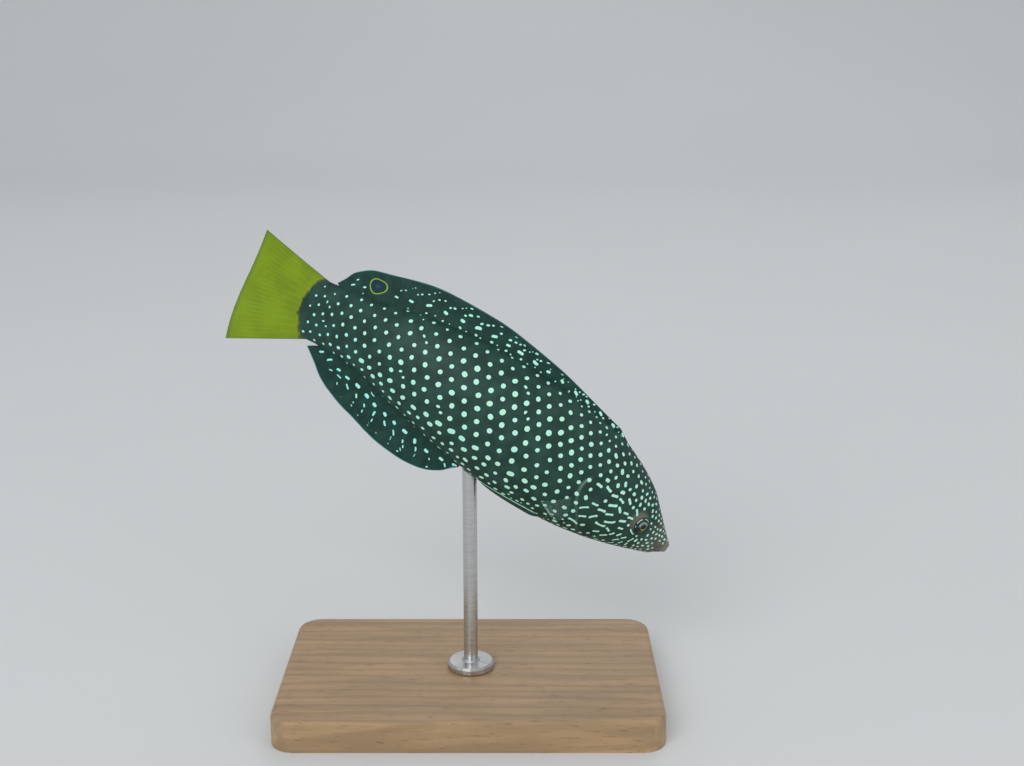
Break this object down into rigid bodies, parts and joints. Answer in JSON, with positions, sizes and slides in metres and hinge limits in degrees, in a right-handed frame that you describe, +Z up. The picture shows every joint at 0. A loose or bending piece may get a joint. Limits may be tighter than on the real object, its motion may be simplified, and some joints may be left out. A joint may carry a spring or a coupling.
{
  "type": "yellowtail wrasse display model",
  "caption": "Life-size spotted reef fish with a yellow tail, swimming nose down on a small rod and base.",
  "frame": {"origin": "middle of the underside of the stand's base", "axes": "+Z up; +X towards the fish's snout, along the base's long side; the fish's right side faces -Y"},
  "size_m": [0.1159, 0.0613, 0.1167],
  "materials": {
    "spotted_skin": "near-black green scaly skin with a round pale mint spot on each scale, satin wet sheen",
    "eye": "glossy dark eye with a thin yellow ring and pale rays",
    "dark_fin": "near-black green fin membrane with pale blue marks and a pale blue edge, satin",
    "yellow_fin": "chartreuse yellow fin membrane with fine rays, satin",
    "clear_fin": "nearly clear fin membrane with fine grey rays",
    "oak": "oiled oak, fine grain",
    "steel": "brushed steel rod"
  },
  "bodies": {
    "root": {"head": "spotted_skin", "torso": "spotted_skin", "tail_stem": "spotted_skin", "eye_left": "eye", "eye_right": "eye", "dorsal_fin": "dark_fin", "anal_fin": "dark_fin", "caudal_fin": "yellow_fin", "pectoral_fin_left": "clear_fin", "pectoral_fin_right": "clear_fin", "pelvic_fin_left": "dark_fin", "pelvic_fin_right": "dark_fin", "stand_base": "oak", "stand_rod": "steel"}
  },
  "joints": []
}
